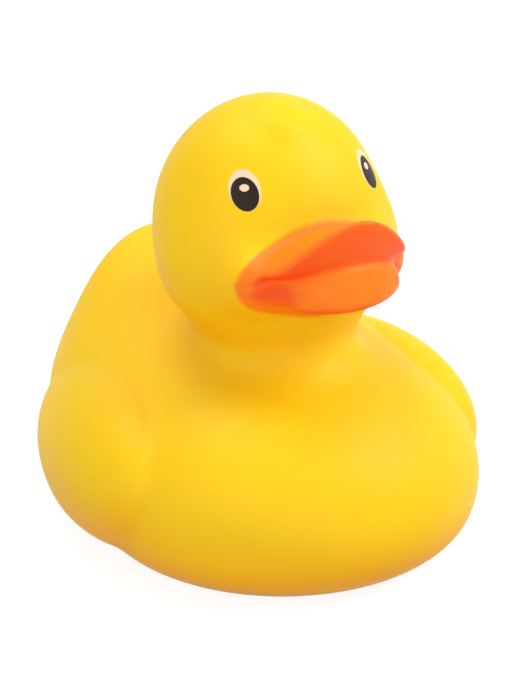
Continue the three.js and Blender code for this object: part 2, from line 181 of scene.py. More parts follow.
# Spines for the rays: share of the way from the hole to the face or, inside, to the crown; ray tip
# (y, z); lean of the cone's axis and its opening.
OUTER_SPINE = np.array(
    [
        (0.00, HOLE_Y, 13.9, 0, -60),
        (0.18, 0.25, 15.9, 0, -35),
        (0.31, 3.25, 17.9, 0, 0),
        (0.44, 3.25, 20.4, 0, 22),
        (0.57, 1.25, 23.9, 0, 34),
        (0.67, -3.75, 31.9, 0, 20),
        (0.75, -4.75, 39.9, 3, 2),
        (0.88, -5.75, 49.9, 18, 0),
        (1.00, -9.75, 58.9, 42, 0),
    ],
    float,
)
INNER_SPINE = np.array(
    [
        (0.00, HOLE_Y, 13.9, 0, -55),
        (0.14, 0.25, 15.9, 0, -35),
        (0.28, 3.25, 17.9, 0, 0),
        (0.40, 3.25, 20.4, 0, 22),
        (0.52, 1.25, 23.9, 0, 34),
        (0.62, -3.75, 31.9, 0, 20),
        (0.70, -4.75, 39.9, 3, 2),
        (0.82, -5.25, 51.9, 10, 0),
        (1.00, -5.25, 56.9, 12, 90),
    ],
    float,
)

# Printed eyes: the middle of each and the way it faces. The print sits a little out on the left.
EYES = {
    "right": ((-10.76, -15.50, 67.84), (-0.507, -0.697, 0.508)),
    "left": ((13.30, -13.75, 67.00), (0.640, -0.590, 0.492)),
}

# Printed shapes: offset toward the midline and up, half sizes across and up, and lean outward.
EYE_WHITE = (0.0, 0.0, 2.62, 3.62, 20.7)
EYE_PUPIL = (0.05, -0.66, 2.27, 2.97, 24.8)
EYE_GLINT = (-0.12, 0.38, 0.80, 0.62, 0.0)

# How far behind its middle a print still reaches the skin.
PRINT_REACH = 6.0

# Painted shade, a deeper amber on the yellow: the distances at which a fold is felt, the share of
# each, and the share of skin that looks down, which is painted darker as shade.
FOLD_DISTANCES = (7.0, 18.0)
FOLD_SHARES = (0.3, 0.05)
DOWN_SHARE = 1.35
DOWN_SLOPE_FADE = (-0.85, 1.1)
DOWN_HEIGHT_FADE = (22.0, 18.0)
DOWN_HEIGHT_LOSS = 0.7

# Edge of the sprayed orange on the face: centre (y, z), then half sizes and the powers of its
# outline across, above and below. The span turns a share of them into millimetres. It widens by a
# share for each millimetre forward and ends below a height and behind a place on the head.
SPRAY_CENTRE = (-21.5, 54.0)
SPRAY_HALF = (16.2, 8.7, 6.6)
SPRAY_POWERS = (2.3, 1.1, 1.5)
SPRAY_SPAN = 11.0
SPRAY_WIDENING = 0.12
SPRAY_LOWEST = 42.0
SPRAY_BACK = -12.0
SPRAY_END_SLOPE = 4.0
SPRAY_CLIP = 9.0

# Its mist: noise per metre, speckle and edge as shares of the edge's width, and what spray and ink
# add to the roughness.
MIST_SCALE = 1500.0
SPRAY_SPECKLE = 0.7
SPRAY_EDGE = (-0.9, 0.6)
SPRAY_GLOSS = -0.05
INK_GLOSS = -0.08

# Red-orange on the lips' faces, partly the paint and partly painted shade of the open mouth: its
# strength at the middle, where it grows full outward, and where it sets in as shares of the rows
# from rim to crease. It lies only ahead of its back.
MOUTH_PAINT_MIDDLE = 0.78
MOUTH_PAINT_FADE = (5.0, 5.0)
UPPER_FACE_FADE = (-0.15, 0.25)
LOWER_FACE_FADE = (0.88, 0.12)
MOUTH_SIDE_FADE = (-0.05, 0.10)
MOUTH_PAINT_BACK = -18.0

# The wedge of painted shade for a fold at each corner of the mouth, which the skin does not
# model, by the distance from the middle plane: height over the bill's root, droop for each
# millimetre outward, and half thickness at the tip, which gains inward.
WEDGE_HEIGHT = -0.5
WEDGE_DROOP = 0.3
WEDGE_DROOP_START = 11.5
WEDGE_TIP = 0.6
WEDGE_GAIN = 2.0
WEDGE_TAPER = (10.5, 4.5)
WEDGE_FADE_IN = (8.5, 2.5)
WEDGE_FADE_OUT = (13.0, 2.2)
WEDGE_LOSS = 0.8

# The patch of painted shade over it: strength, how high its edge is and how far out there, and
# its climb inward.
PATCH_STRENGTH = 0.9
PATCH_HEIGHT = 1.3
PATCH_OUT = 13.2
PATCH_CLIMB = 1.7
PATCH_EDGE = 1.4
PATCH_FADE_IN = (7.5, 2.0)
PATCH_FRONT_FADE = (-2.6, 1.4)

# The line of painted shade under the lower lip: half thickness, height over the rim, and where it
# sets in forward.
UNDER_LINE = 0.9
UNDER_LINE_LIFT = 0.1
UNDER_LINE_FADE = (24.0, 3.0)

# Camera and its frame: place and target in millimetres, focal length and longer side in pixels.
CAMERA_PLACE = (-306.266, -565.057, 295.885)
CAMERA_TARGET = (0.191, 0.147, 32.860)
FOCAL_PIXELS = 4055.4
FRAME_PIXELS = 688.0
SENSOR_MM = 36.0

# Pale floor: share of light it gives back to the duck, and what the camera sees of it, as the
# share that takes the shadow and the even glow under it.
FLOOR_GIVES_BACK = 0.55
FLOOR_SHADED = 0.24
FLOOR_GLOW = 0.885


# Soft joins and masses.


def soft_min(a, b, blend):
    """The smaller of two distances, rounded where they are within blend of each other."""
    h = np.maximum(blend - np.abs(a - b), 0) / blend
    return np.minimum(a, b) - h * h * blend * 0.25


def soft_max(a, b, blend):
    """The larger of two distances, rounded in the same way."""
    return -soft_min(-a, -b, blend)


def smooth(t):
    """0 below 0, 1 above 1, and 3t2 - 2t3 between."""
    t = np.clip(t, 0, 1)
    return t * t * (3 - 2 * t)


def ramp(value, start, width):
    """0 up to start, 1 from start + width on, and smooth between."""
    return smooth((value - start) / width)


def ellipsoid(x, y, z, half):
    """Near-exact distance to an ellipsoid: k (k - 1) / g, with k the scaled radius and g its slope."""
    k = np.sqrt((x / half[0]) ** 2 + (y / half[1]) ** 2 + (z / half[2]) ** 2) + 1e-9
    g = np.sqrt((x / half[0] ** 2) ** 2 + (y / half[1] ** 2) ** 2 + (z / half[2] ** 2) ** 2) + 1e-9
    return k * (k - 1) / g


def mass(x, y, z, shape, lean=0.0):
    """An ellipsoid (centre, half sizes) turned about X by lean degrees."""
    (cx, cy, cz), half = shape
    c, s = math.cos(math.radians(lean)), math.sin(math.radians(lean))
    v, w = y - cy, z - cz
    return ellipsoid(x - cx, c * v + s * w, c * w - s * v, half)


def wing(x, y, z, side):
    """A folded wing: an ellipsoid toed in about Z, then dipped about X."""
    (cx, cy, cz), half = WING
    toe, dip = math.radians(WING_TOE * side), math.radians(WING_DIP)
    u, v, w = x - side * cx, y - cy, z - cz
    across = math.cos(toe) * u + math.sin(toe) * v
    along = math.cos(toe) * v - math.sin(toe) * u
    return ellipsoid(
        across,
        math.cos(dip) * along + math.sin(dip) * w,
        math.cos(dip) * w - math.sin(dip) * along,
        half,
    )


def neck(x, y, z):
    """A tapered post with round ends: distance to its axis less a radius that changes with height."""
    (z0, r0), (z1, r1) = NECK_BOTTOM, NECK_TOP
    t = np.clip((z - z0) / (z1 - z0), 0, 1)
    return np.sqrt(x * x + (y - NECK_Y) ** 2 + (z - z0 - t * (z1 - z0)) ** 2) - r0 - t * (r1 - r0)


def body(x, y, z):
    """Breast, rump, tail and wings run together, rounded off above the belly plane.

    The skin sinks a little along the line where each wing leaves the body, by a bell curve of
    the difference between the two distances.
    """
    core = soft_min(mass(x, y, z, BREAST), mass(x, y, z, RUMP), TRUNK_BLEND)
    core = soft_min(core, mass(x, y, z, TAIL, TAIL_LEAN), TAIL_BLEND)
    wings = np.minimum(wing(x, y, z, -1), wing(x, y, z, 1))
    groove = WING_GROOVE * np.exp(-(((core - wings) / WING_GROOVE_WIDTH) ** 2))
    return soft_max(soft_min(core, wings, WING_BLEND) + groove, BELLY_PLANE - z, BELLY_BLEND)


def head(x, y, z):
    """Head, cheeks and neck run together."""
    face = soft_min(mass(x, y, z, HEAD), mass(x, y, z, MUZZLE), FACE_BLEND)
    return soft_min(neck(x, y, z), face, FACE_BLEND)


def bill_heights(x, ahead):
    """Heights over the bill's root of the upper rim, mouth and lower rim.

    Each is a rise times the arch, 1 - X2 with X the share of the half width. The mouth's arch is
    raised to its flatness, and the upper rim's rise grows from the root share at the face to all
    of it at the tip.
    """
    arch = np.maximum(1 - (x / BILL_HALF_WIDTH) ** 2, -0.3)
    share = LIP_ROOT_SHARE + (1 - LIP_ROOT_SHARE) * np.clip(ahead, -0.5, 1)
    mouth = MOUTH_RISE * np.maximum(arch, 0) ** MOUTH_FLATNESS
    return arch, UPPER_RISE * arch * share + LIP_EDGE, mouth, LOWER_RISE * arch - LIP_EDGE


def near_corner(ahead):
    """1 at the corners of the mouth, 0 ahead of them; ahead is the share of the bill's reach."""
    return 1 - ramp(ahead, *CORNER_FADE)


def bill(x, y, z):
    """Two lips between a top and a bottom sheet.

    The front face is the rim's ellipse set back toward the mouth crease by a curve that is
    deepest at the crease and nothing at the rims. A low ridge runs along the lower lip, by a bell
    curve of the height under the crease.
    """
    forward = BILL_ROOT_Y - y
    ahead = forward / np.where(forward > 0, BILL_REACH, BILL_BACK)
    outside = (np.sqrt((x / BILL_HALF_WIDTH) ** 2 + ahead * ahead) - 1) * BILL_SPAN
    arch, upper, mouth, lower = bill_heights(x, ahead)
    height = z - BILL_ROOT_Z
    front = ramp(forward, *FRONT_FADE)
    corner = near_corner(ahead)
    above = height > mouth
    lip = np.where(above, upper - mouth, mouth - lower)
    from_crease = np.sqrt((height - mouth) ** 2 + CREASE_ROUNDING**2) - CREASE_ROUNDING
    fullness = np.where(above, UPPER_LIP_FULLNESS, LOWER_LIP_FULLNESS)
    setback = np.where(above, 0, (LOWER_SETBACK + LOWER_CORNER_SETBACK * corner) * front)
    deepest = (MOUTH_DEPTH + MOUTH_DEPTH_MIDDLE * arch + MOUTH_DEPTH_CORNER * corner) * front
    bulge = np.maximum(1e-9, 1 - from_crease / (lip + LIP_MARGIN)) ** fullness
    face = outside + setback + (deepest - setback) * bulge
    ridge = np.where(above, 0, LIP_RIDGE * (1 - corner) * front)
    face = face - ridge * np.exp(-(((from_crease - LIP_RIDGE_BELOW) / LIP_RIDGE_WIDTH) ** 2))
    top = height - upper + LIP_HOLLOW * smooth(-outside / LIP_HOLLOW_LENGTH)
    bottom = lower - CHIN_SLOPE * np.clip(-outside, 0, CHIN_LENGTH) - height
    return soft_max(soft_max(top * LIP_STEEPNESS, face, LIP_BLEND), bottom * LIP_STEEPNESS, LIP_BLEND)


def dish(x, y):
    """Height of the round dish in the base: its depth, easing to nothing at its rim."""
    reach = np.sqrt(x * x + (y - HOLE_Y) ** 2)
    return DISH_DEPTH * smooth((DISH_RIM - reach) / (DISH_RIM - DISH_FLAT))


def skin(p):
    """Distance to the outside of the duck, negative inside."""
    x, y, z = p[..., 0], p[..., 1], p[..., 2]
    (cx, cy, cz), half = CORNER
    corners = ellipsoid(np.abs(x) - cx, y - cy, z - cz, half)
    beak = soft_min(bill(x, y, z), corners, CORNER_BLEND)
    out = soft_min(body(x, y, z), soft_min(head(x, y, z), beak, BEAK_BLEND), THROAT_BLEND)
    out = soft_min(out, mass(x, y, z, TUFT, TUFT_LEAN), TUFT_BLEND)
    out = soft_max(out, dish(x, y) - z, DISH_BLEND)
    return np.maximum(out, -z)


def hollow(p):
    """Distance to the inside of the shell: body and head one wall in, with the bill solid."""
    x, y, z = p[..., 0], p[..., 1], p[..., 2]
    inside = soft_min(body(x, y, z), head(x, y, z), THROAT_BLEND) + WALL
    return np.maximum(inside, dish(x, y) + WALL - z)


# From distance to surface.


def along_keys(keys, place):
    """Cubic through keyed values with slopes that never overshoot: harmonic mean of both sides."""
    t, v = keys[:, 0], keys[:, 1:]
    step = np.diff(v, axis=0) / np.diff(t)[:, None]
    same = step[:-1] * step[1:]
    middle = np.where(same > 0, 2 * same / np.where(same > 0, step[:-1] + step[1:], 1), 0)
    slope = np.vstack([step[:1], middle, step[-1:]])
    i = np.clip(np.searchsorted(t, place, side="right") - 1, 0, len(t) - 2)
    width = np.diff(t)[i][:, None]
    u = (place - t[i])[:, None] / width
    rise = u * u * (3 - 2 * u)
    lean = slope[i] * u * (1 - u) ** 2 * width - slope[i + 1] * u * u * (1 - u) * width
    return v[i] * (1 - rise) + v[i + 1] * rise + lean


def cast(field, tip, ray, step=1.0, reach=70.0):
    """Where rays leave the field: march in steps, then halve the last step until it is exact."""
    shape = tip.shape[:-1]
    done = np.zeros(shape, bool)
    near = np.zeros(shape)
    far = np.full(shape, float(reach))
    for k in range(int(reach / step)):
        left = np.nonzero(~done)
        if len(left[0]) == 0:
            break
        r = (k + 1) * step
        out = field(tip[left] + ray[left] * r) > 0
        hit = tuple(index[out] for index in left)
        far[hit] = r
        near[hit] = r - step
        done[hit] = True
    for _ in range(24):
        middle = (near + far) / 2
        inside = field(tip + ray * middle[..., None]) < 0
        near = np.where(inside, middle, near)
        far = np.where(inside, far, middle)
    return tip + ray * ((near + far) / 2)[..., None]


def slope_of(field, p, e=0.02):
    """Central differences of the field."""
    return np.stack(
        [(field(p + e * axis) - field(p - e * axis)) / (2 * e) for axis in np.eye(3)], axis=-1
    )


def settle(field, p, times=3):
    """Newton steps along the slope until the points lie on the surface."""
    for _ in range(times):
        g = slope_of(field, p)
        p = p - g * (field(p) / ((g * g).sum(-1) + 1e-9))[..., None]
    return p


def even_out(field, grid, times, free):
    """Move each free point halfway to the mean of its four neighbours, along the surface only."""
    for _ in range(times):
        mean = grid.copy()
        sides = np.roll(grid, 1, 1) + np.roll(grid, -1, 1)
        mean[1:-1] = sides[1:-1] * 0.25 + (grid[2:] + grid[:-2]) * 0.25
        p, move = grid[free], (mean - grid)[free]
        g = slope_of(field, p)
        move -= g * ((move * g).sum(-1) / ((g * g).sum(-1) + 1e-9))[..., None]
        grid = grid.copy()
        grid[free] = settle(field, p + 0.5 * move, 1)
    return grid


def turns(count):
    """Angles of the columns, once round."""
    return np.linspace(0, 2 * np.pi, count, endpoint=False)


def hole_ring(turn, height):
    """The edge of the squeaker hole at the given angles."""
    across, ahead = HOLE_RADIUS * np.sin(turn), HOLE_RADIUS * np.cos(turn)
    return np.stack([across, HOLE_Y - ahead, height + 0 * turn], -1)


def cone_rows(field, spine, rows, columns, ring_z):
    """Rows of points on cones of rays: row i uses the spine at i, column j turns about its axis.

    The first row is the edge of the squeaker hole, a plain circle.
    """
    key = along_keys(spine, np.linspace(0, 1, rows))
    turn = turns(columns)
    lean, opening = np.radians(key[:, 2:3]), np.radians(key[:, 3:4])
    flat, rise = np.cos(opening), np.sin(opening)
    ray = np.stack(
        [
            flat * np.sin(turn),
            -flat * np.cos(turn) * np.cos(lean) - rise * np.sin(lean),
            -flat * np.cos(turn) * np.sin(lean) + rise * np.cos(lean),
        ],
        -1,
    )
    tip = np.zeros_like(ray)
    tip[..., 1] = key[:, 0:1]
    tip[..., 2] = key[:, 1:2]
    grid = cast(field, tip, ray)
    grid[0] = hole_ring(turn, ring_z)
    return grid


def bill_rows(field, face_row, out_rows, front_rows):
    """Rows from the last row on the head to the bill's rim, and on to the mouth crease.

    The rim row is the rim's ellipse at column angle v: (a sin v, root - b |cos v|, rise). The
    crease row is the same arch a little narrower. Rows between are straight mixes of their two
    ends, thrown onto the surface by rays from inside the bill.
    """
    turn = turns(face_row.shape[0])
    s, c = np.sin(turn), np.cos(turn)
    ahead = np.abs(c)
    upper_side = c < 0
    fade_in = smooth(ahead / CORNER_FADE[0])
    back = (LOWER_SETBACK + LOWER_CORNER_SETBACK * near_corner(ahead)) * fade_in
    size = np.where(upper_side, 1, 1 - back / BILL_SPAN)
    rim = np.stack([BILL_HALF_WIDTH * s * size, BILL_ROOT_Y - BILL_REACH * ahead * size, 0 * s], -1)
    _, upper, _, lower = bill_heights(rim[:, 0], ahead)
    edge = LIP_EDGE * fade_in
    rim[:, 2] = BILL_ROOT_Z + np.where(upper_side, upper - LIP_EDGE + edge, lower + LIP_EDGE - edge)
    rim = settle(field, rim, times=8)

    x = (BILL_HALF_WIDTH - CREASE_INSET) * s
    tip = np.stack([x, BILL_ROOT_Y + 1 - 2 * ahead, BILL_ROOT_Z + bill_heights(x, 0)[2]], -1)
    to_front = np.zeros_like(tip)
    to_front[:, 1] = -1
    crease = cast(field, tip, to_front, step=0.5, reach=20)

    def thrown(start, end, share, tips):
        aim = start * (1 - share) + end * share - tips
        aim /= np.linalg.norm(aim, axis=-1, keepdims=True)
        return cast(field, tips, aim, step=0.5, reach=40)

    t = np.linspace(0, 1, out_rows + 1)[1:-1][:, None]
    t = 1 - (1 - t) ** RIM_CROWDING
    travels = zip(UPPER_TIP_TRAVEL, LOWER_TIP_TRAVEL)
    spread, forward, sink = [np.where(upper_side, *pair) for pair in travels]
    tip_y, tip_z = BILL_TIP_START
    tips = np.stack([spread * BILL_HALF_WIDTH * s * t, tip_y - forward * t, tip_z - sink * t], -1)
    top = thrown(face_row, rim, t[..., None], tips)

    t = np.linspace(0, 1, front_rows + 1)[1:-1][:, None]
    t = (1 - LIP_CROWDING) * t + LIP_CROWDING * smooth(t)
    wide, high = LIP_TIP_SHARES
    x = wide * (rim[:, 0] * (1 - t) + crease[:, 0] * t)
    tips = np.stack([x, BILL_ROOT_Y - 1 + 0 * x, BILL_ROOT_Z + high * bill_heights(x, 0)[2]], -1)
    front = thrown(rim, crease, t[..., None], tips)
    return top, rim[None], front, crease[None]


def finer(grid, times):
    """Smooth curve through the points both ways (Catmull-Rom), with columns running round."""

    def curve(a, b, c, d, t):
        square, cube = 2 * a - 5 * b + 4 * c - d, 3 * b - a - 3 * c + d
        return 0.5 * (2 * b + (c - a) * t + square * t * t + cube * t**3)

    rows, columns = grid.shape[:2]
    r = np.linspace(0, rows - 1, (rows - 1) * times + 1)
    i = np.minimum(r.astype(int), rows - 2)
    before, after = np.maximum(i - 1, 0), np.minimum(i + 2, rows - 1)
    tall = curve(grid[before], grid[i], grid[i + 1], grid[after], (r - i)[:, None, None])
    q = np.arange(columns * times) / times
    j = q.astype(int)
    parts = [tall[:, (j + k) % columns] for k in (-1, 0, 1, 2)]
    return curve(*parts, (q - j)[None, :, None])


def skin_grid(columns):
    """The whole outside as one grid, from the hole's edge (row 0) to the mouth crease (last row).

    Also gives the number of the rim's row. A coarse grid is evened out first; the finer one made
    from it is settled onto the surface and evened again.
    """
    rim_row, last = HEAD_ROWS + BILL_ROWS - 1, HEAD_ROWS + BILL_ROWS + LIP_ROWS - 1
    grid = cone_rows(skin, OUTER_SPINE, HEAD_ROWS, columns, DISH_DEPTH)
    grid = np.concatenate([grid, *bill_rows(skin, grid[-1], BILL_ROWS, LIP_ROWS)])

    def loose(rim_row, first_held):
        """Points that may move: all but both ends, the held rows and the rim away from its corners."""
        free = np.ones(grid.shape[:2], bool)
        free[0] = free[-1] = False
        free[first_held:] = False
        ahead = np.cos(turns(grid.shape[1]))
        free[rim_row] &= np.abs(ahead) < np.where(ahead < 0, *LOOSE_RIM)
        return free

    grid = even_out(skin, grid, EVENING, loose(rim_row, HEAD_ROWS + FREE_BILL_ROWS))
    grid = even_out(skin, grid, LIP_EVENING, loose(rim_row, last))

    seam = finer(grid[-2:], FINER)[-1]
    grid = finer(grid, FINER)
    rim_row, last = rim_row * FINER, last * FINER
    grid[1:] = settle(skin, grid[1:], 3)
    grid[0] = hole_ring(turns(grid.shape[1]), DISH_DEPTH)
    grid[-1] = seam
    return even_out(skin, grid, FINE_EVENING, loose(rim_row, last)), rim_row


def closed_sheet(outer, inner):
    """One closed skin from both grids, as points, faces and the grid number of each point.

    The outside's last row is the mouth crease, which folds onto itself: column j meets column
    half - j. The last row of the hollow is one point.
    """
    rows, wide = outer.shape[:2]
    column = np.arange(wide)
    number = np.arange(rows * wide).reshape(rows, wide)
    number[-1] = number[-1][np.minimum(column, (wide // 2 - column) % wide)]
    inner_number = rows * wide + np.arange(len(inner) * wide).reshape(len(inner), wide)
    inner_number[-1] = inner_number[-1, 0]
    sheet = np.concatenate([number[::-1], inner_number])
    beside = np.roll(sheet, -1, 1)
    quads = np.stack([sheet[:-1], beside[:-1], beside[1:], sheet[1:]], -1).reshape(-1, 4)
    used, packed = np.unique(quads, return_inverse=True)
    quads = packed.reshape(-1, 4)
    narrow = (quads == np.roll(quads, -1, 1)).any(1)
    faces = quads[~narrow].tolist() + [list(dict.fromkeys(q)) for q in quads[narrow].tolist()]
    points = np.concatenate([outer.reshape(-1, 3), inner.reshape(-1, 3)])[used]
    return points, [face for face in faces if len(face) > 2], used


# Meshes and attributes.


def put_mesh(name, points, faces, smooth_faces=True):
    """A mesh object at the origin from points in millimetres."""
    mesh = bpy.data.meshes.new(name)
    mesh.from_pydata((points * MM).tolist(), [], faces)
    mesh.update()
    if smooth_faces:
        mesh.polygons.foreach_set("use_smooth", np.ones(len(mesh.polygons), bool))
    obj = bpy.data.objects.new(name, mesh)
    bpy.context.scene.collection.objects.link(obj)
    return obj


def add_values(obj, name, values):
    """One number for each vertex, under a name that a material can read."""
    layer = obj.data.attributes.new(name, "FLOAT", "POINT")
    layer.data.foreach_set("value", np.ascontiguousarray(values, dtype=np.float32))


def spray_distance(p):
    """Millimetres outside the sprayed patch: an egg in X and Z that widens toward the front."""
    (cy, cz), (half_x, half_top, half_low) = SPRAY_CENTRE, SPRAY_HALF
    power_x, power_top, power_low = SPRAY_POWERS
    dz = p[:, 2] - cz
    part = np.where(dz > 0, np.abs(dz / half_top) ** power_top, np.abs(dz / half_low) ** power_low)
    size = np.sqrt(np.abs(p[:, 0] / half_x) ** power_x + part)
    room = np.maximum(0.05, 1 + SPRAY_WIDENING * (cy - p[:, 1]))
    away = np.maximum(0, SPRAY_LOWEST - p[:, 2]) + np.maximum(0, p[:, 1] - SPRAY_BACK)
    edge = (size / room - 1) * SPRAY_SPAN + away * SPRAY_END_SLOPE
    return np.clip(edge, -SPRAY_CLIP, SPRAY_CLIP)


def lip_faces(grid, rim_row):
    """1 on the lips' faces that take the red-orange, partly paint and partly painted shade: the upper
    from its rim on, the lower only at the crease, where it is painted shade.
    """
    rows, wide = grid.shape[:2]
    past_rim = ((np.arange(rows) - rim_row) / (rows - 1 - rim_row))[:, None]
    lower = ramp(np.cos(turns(wide)), *MOUTH_SIDE_FADE)[None]
    return ramp(past_rim, *UPPER_FACE_FADE) * (1 - lower) + ramp(past_rim, *LOWER_FACE_FADE) * lower


def mouth_paint_and_shade(p, on_face):
    """Red-orange at each point, 0 to 1: the most of the lips' faces, partly paint and partly painted
    shade of the open mouth, and of the folds and the line, which are painted shade.

    A fold is painted shade: a wedge at a corner of the mouth that narrows outward, an exponential
    of depth over reach cubed, and a patch above it that climbs toward the middle on the front of
    the upper lip. The line is painted shade under the lower lip, by a bell curve of the height
    from its rim.
    """
    out, low = np.abs(p[:, 0]), p[:, 2] - BILL_ROOT_Z
    arch = np.maximum(1 - (out / BILL_HALF_WIDTH) ** 2, 0)
    ahead = np.maximum(BILL_ROOT_Y - p[:, 1], 0) / BILL_REACH
    outside = (np.sqrt(1 - arch + ahead**2) - 1) * BILL_SPAN

    full = ramp(out, *MOUTH_PAINT_FADE)
    faces = on_face * (MOUTH_PAINT_MIDDLE + (1 - MOUTH_PAINT_MIDDLE) * full)

    # Painted shade of the fold at each corner of the mouth, which the skin does not model.
    depth = low - WEDGE_HEIGHT + WEDGE_DROOP * np.maximum(out - WEDGE_DROOP_START, 0)
    reach = WEDGE_TIP + WEDGE_GAIN * (1 - ramp(out, *WEDGE_TAPER))
    wedge = ramp(out, *WEDGE_FADE_IN) * np.exp(-np.abs(depth / reach) ** 3)
    wedge = wedge * (1 - WEDGE_LOSS * ramp(out, *WEDGE_FADE_OUT))
    patch_top = PATCH_HEIGHT + PATCH_CLIMB * (PATCH_OUT - out)
    patch = smooth((patch_top - low) / PATCH_EDGE) * ramp(out, *PATCH_FADE_IN) * (low > 0)
    patch = patch * PATCH_STRENGTH * ramp(outside, *PATCH_FRONT_FADE)

    # Painted shade on the underside of the lower lip's rim.
    from_line = low - (LOWER_RISE * arch - LIP_EDGE + UNDER_LINE_LIFT)
    line = np.exp(-((from_line / UNDER_LINE) ** 2)) * ramp(-p[:, 1], *UNDER_LINE_FADE)
    # Painted shade: the folds and the line under the lower lip.
    shade_marks = np.maximum(np.maximum(wedge, patch), line)
    return np.maximum(faces, shade_marks * (p[:, 1] < MOUTH_PAINT_BACK))


def painted_shade(p):
    """Painted shade, 0 to 1: how deep a point sits, where light that reaches it has met the vinyl
    once already.

    A point a little way off the skin lies nearer to it than that in a fold; the share that is
    missing, at two distances, is added to a part for skin that looks down; both are painted shade.
    """
    g = slope_of(skin, p)
    g /= np.linalg.norm(g, axis=-1, keepdims=True) + 1e-9
    folds = [share * (1 - skin(p + g * d) / d) for share, d in zip(FOLD_SHARES, FOLD_DISTANCES)]
    down = 1 - ramp(g[:, 2], *DOWN_SLOPE_FADE)
    down = down * (1 - DOWN_HEIGHT_LOSS * ramp(p[:, 2], *DOWN_HEIGHT_FADE))
    return np.clip(sum(folds) + DOWN_SHARE * down, 0, 1)


# Material helpers.


class Nodes:
    """A thin helper over one node tree: add makes a node, sets its inputs and links its sources."""

    def __init__(self, tree):
        self.tree = tree

    def add(self, kind, inputs=None, **settings):
        node = self.tree.nodes.new(kind)
        for key, value in settings.items():
            setattr(node, key, value)
        for key, value in (inputs or {}).items():
            socket = node.inputs[key]
            if isinstance(value, bpy.types.NodeSocket):
                self.tree.links.new(value, socket)
            else:
                socket.default_value = value
        return node

    def math(self, operation, a, b=0.0, clamp=False):
        """The result of one operation on two values or sockets."""
        return self.add("ShaderNodeMath", {0: a, 1: b}, operation=operation, use_clamp=clamp).outputs[0]

    def step(self, value, low, high, out_low=0.0, out_high=1.0):
        """A smooth step from out_low at low to out_high at high."""
        inputs = {"Value": value, "From Min": low, "From Max": high}
        inputs.update({"To Min": out_low, "To Max": out_high})
        node = self.add("ShaderNodeMapRange", inputs, interpolation_type="SMOOTHSTEP")
        return node.outputs["Result"]

    def mix(self, factor, a, b):
        """Colour a where factor is 0 and colour b where it is 1."""
        node = self.add("ShaderNodeMix", data_type="RGBA")
        for name, value in (("Factor", factor), ("A", a), ("B", b)):
            socket = next(s for s in node.inputs if s.name == name and s.enabled)
            if isinstance(value, bpy.types.NodeSocket):
                self.tree.links.new(value, socket)
            else:
                socket.default_value = value
        return next(s for s in node.outputs if s.enabled)

    def noise(self, scale, detail, roughness, vector):
        """Noise about 0.5."""
        inputs = {"Scale": scale, "Detail": detail, "Roughness": roughness, "Vector": vector}
        return self.add("ShaderNodeTexNoise", inputs).outputs["Fac"]


def new_material(name):
    """An empty material with an output and a Principled shader, as (material, nodes, shader)."""
    material = bpy.data.materials.new(name)
    material.use_nodes = True
    tree = material.node_tree
    tree.nodes.clear()
    nodes = Nodes(tree)
    shader = nodes.add("ShaderNodeBsdfPrincipled")
    nodes.add("ShaderNodeOutputMaterial", {"Surface": shader.outputs[0]})
    return material, nodes, shader


def moulded_group():
    """Node group for cast or moulded plastic: fine grain and slow drift on Object coordinates.

    Height is three parts of noise at Grain Size to two of noise eight times coarser. Tone is a
    slow drift about 1. Roughness is the given value plus the drift and a little of the grain.
    """
    name = "moulded_surface"
    if name in bpy.data.node_groups:
        return bpy.data.node_groups[name]
    group = bpy.data.node_groups.new(name, "ShaderNodeTree")
    defaults = {"Grain Size mm": 0.5, "Roughness": 0.4, "Roughness Drift": 0.05, "Tone Drift": 0.03}
    for label, value in defaults.items():
        socket = group.interface.new_socket(label, in_out="INPUT", socket_type="NodeSocketFloat")
        socket.default_value = value
    for label in ("Height", "Roughness", "Tone"):
        group.interface.new_socket(label, in_out="OUTPUT", socket_type="NodeSocketFloat")
    nodes = Nodes(group)
    given = nodes.add("NodeGroupInput").outputs
    place = nodes.add("ShaderNodeTexCoord").outputs["Object"]
    per_metre = nodes.math("DIVIDE", 1000.0, given["Grain Size mm"])
    grain = nodes.noise(per_metre, 3.0, 0.55, place)
    coarse = nodes.noise(nodes.math("MULTIPLY", per_metre, 0.12), 2.0, 0.5, place)
    drift = nodes.noise(60.0, 2.0, 0.5, place)
    height = nodes.math("ADD", nodes.math("MULTIPLY", grain, 0.6), nodes.math("MULTIPLY", coarse, 0.4))
    centred = nodes.math("SUBTRACT", drift, 0.5)
    rough = nodes.math("MULTIPLY", centred, given["Roughness Drift"])
    rough = nodes.math("ADD", given["Roughness"], rough)
    fine = nodes.math("MULTIPLY", nodes.math("SUBTRACT", grain, 0.5), 0.06)
    rough = nodes.math("ADD", rough, fine)
    tone = nodes.math("ADD", 1.0, nodes.math("MULTIPLY", centred, given["Tone Drift"]))
    nodes.add("NodeGroupOutput", {"Height": height, "Roughness": rough, "Tone": tone})
    return group


